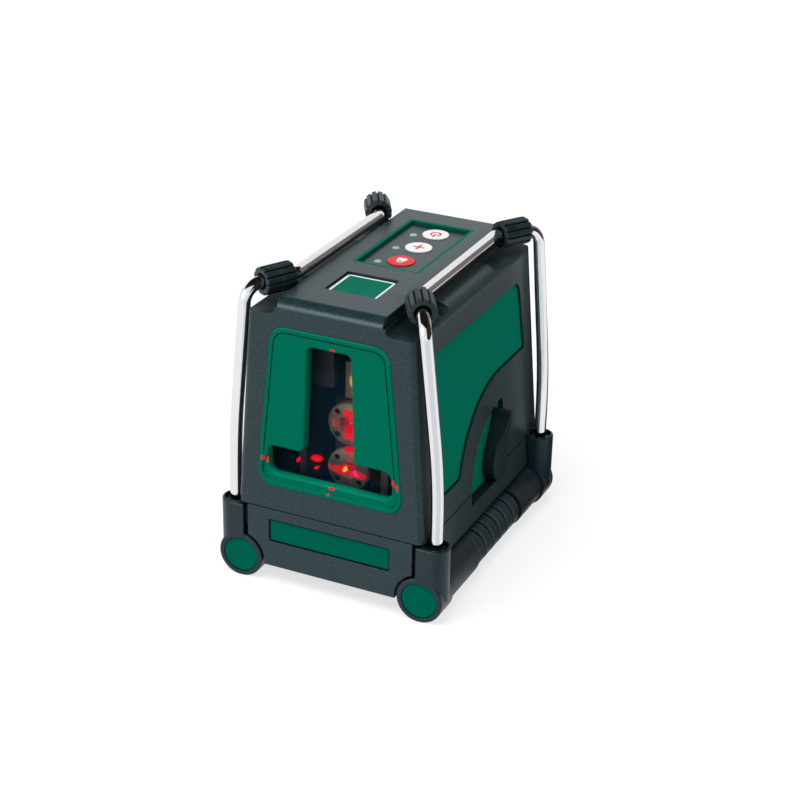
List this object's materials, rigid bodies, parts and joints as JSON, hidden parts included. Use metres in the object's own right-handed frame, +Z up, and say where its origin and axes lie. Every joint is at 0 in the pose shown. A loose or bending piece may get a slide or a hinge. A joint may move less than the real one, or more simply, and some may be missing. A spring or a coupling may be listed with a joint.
{
  "type": "cross line laser level",
  "caption": "Self-levelling cross line laser level: leaning box case with a T window, top keypad, side lock lever, chrome guard rods with corner bumpers, and round feet joined by grips.",
  "frame": {"origin": "on the floor under the middle of the four feet", "axes": "+Z up; the laser window faces -Y; +X is on the right seen from the front, where the lock lever is"},
  "size_m": [0.0974, 0.118, 0.1287],
  "materials": {
    "charcoal_plastic": "fine matte texture",
    "green_plastic": "satin",
    "overlay_grey": "matte film",
    "lever_black": "satin",
    "black_rubber": "matte",
    "chrome_steel": "polished",
    "clear_pane": "clear",
    "white_key": "satin",
    "red_key": "satin",
    "lamp_grey": "translucent",
    "circuit_board": "solder mask",
    "frame_alloy": "as cast",
    "brass": "turned",
    "laser_alloy": "turned",
    "bare_steel": "bright",
    "copper": "bare",
    "cell_jacket": "printed wrap, bare",
    "slide_plastic": "natural",
    "lens_glass": "polished"
  },
  "bodies": {
    "housing": {"upper_case": "charcoal_plastic", "base_tray": "charcoal_plastic", "front_bezel": "green_plastic", "window_pane": "clear_pane", "base_name_plate": "green_plastic", "top_name_plate": "green_plastic", "keypad_frame": "green_plastic", "keypad_overlay": "overlay_grey", "switch_domes": "bare_steel", "indicator_leds": "lamp_grey", "keypad_board": "circuit_board", "dial_plate": "green_plastic", "lever_bush": "brass", "chassis": "frame_alloy", "pitch_pins": "bare_steel", "damping_plate": "copper", "battery_cells": "cell_jacket", "battery_springs": "bare_steel", "door_hinge_pin": "bare_steel", "main_board": "circuit_board", "tripod_insert": "brass", "housing_screws": "bare_steel", "side_panel_right": "green_plastic", "cage_rod_right": "chrome_steel", "grip_sleeve_right": "black_rubber", "grip_core_right": "bare_steel", "side_panel_left": "green_plastic", "cage_rod_left": "chrome_steel", "grip_sleeve_left": "black_rubber", "grip_core_left": "bare_steel", "corner_bumper_front_right": "black_rubber", "corner_foot_front_right": "charcoal_plastic", "foot_cap_front_right": "green_plastic", "corner_bumper_rear_right": "black_rubber", "corner_foot_rear_right": "charcoal_plastic", "foot_cap_rear_right": "green_plastic", "corner_bumper_front_left": "black_rubber", "corner_foot_front_left": "charcoal_plastic", "foot_cap_front_left": "green_plastic", "corner_bumper_rear_left": "black_rubber", "corner_foot_rear_left": "charcoal_plastic", "foot_cap_rear_left": "green_plastic"},
    "lever": {"lock_lever": "lever_black", "lever_shaft": "bare_steel"},
    "lock_bar": {"lock_slide": "slide_plastic"},
    "power_key": {"power_button": "white_key"},
    "line_key": {"line_button": "white_key"},
    "lock_key": {"lock_button": "red_key"},
    "gimbal": {"gimbal_ring": "frame_alloy", "roll_pins": "bare_steel"},
    "pendulum": {"pendulum_frame": "brass", "lower_laser_barrel": "brass", "upper_laser_barrel": "brass", "lower_lens_cap": "laser_alloy", "upper_lens_cap": "laser_alloy", "line_lenses": "lens_glass", "lens_screws": "bare_steel", "counterweight": "brass", "damping_magnets": "bare_steel"},
    "door": {"battery_door": "charcoal_plastic"}
  },
  "joints": [
    {"name": "lever_turn", "type": "hinge", "parent": "housing", "child": "lever", "pos_m": [0.0363, 0.0142, 0.0353], "axis": [1, 0, 0], "range_deg": [0, 90]},
    {"name": "lock_travel", "type": "slide", "parent": "housing", "child": "lock_bar", "axis": [0, -1, 0], "range_m": [0, 0.0015]},
    {"name": "power_press", "type": "slide", "parent": "housing", "child": "power_key", "axis": [0, 0, -1], "range_m": [0, 0.0005], "stiffness_N_per_m": 3000},
    {"name": "line_press", "type": "slide", "parent": "housing", "child": "line_key", "axis": [0, 0, -1], "range_m": [0, 0.0005], "stiffness_N_per_m": 3000},
    {"name": "lock_press", "type": "slide", "parent": "housing", "child": "lock_key", "axis": [0, 0, -1], "range_m": [0, 0.0005], "stiffness_N_per_m": 3000},
    {"name": "gimbal_pitch", "type": "hinge", "parent": "housing", "child": "gimbal", "pos_m": [0, -0.02, 0.098], "axis": [1, 0, 0], "range_deg": [-4, 4]},
    {"name": "pendulum_roll", "type": "hinge", "parent": "gimbal", "child": "pendulum", "pos_m": [0, -0.02, 0.098], "axis": [0, 1, 0], "range_deg": [-4, 4]},
    {"name": "door_hinge", "type": "hinge", "parent": "housing", "child": "door", "pos_m": [0, 0.05715, 0.0109], "axis": [-1, 0, 0], "range_deg": [0, 95]}
  ],
  "couplings": [
    {"joint": "lever_turn", "follows": "lock_travel", "rad_per_m": 1047.2}
  ]
}
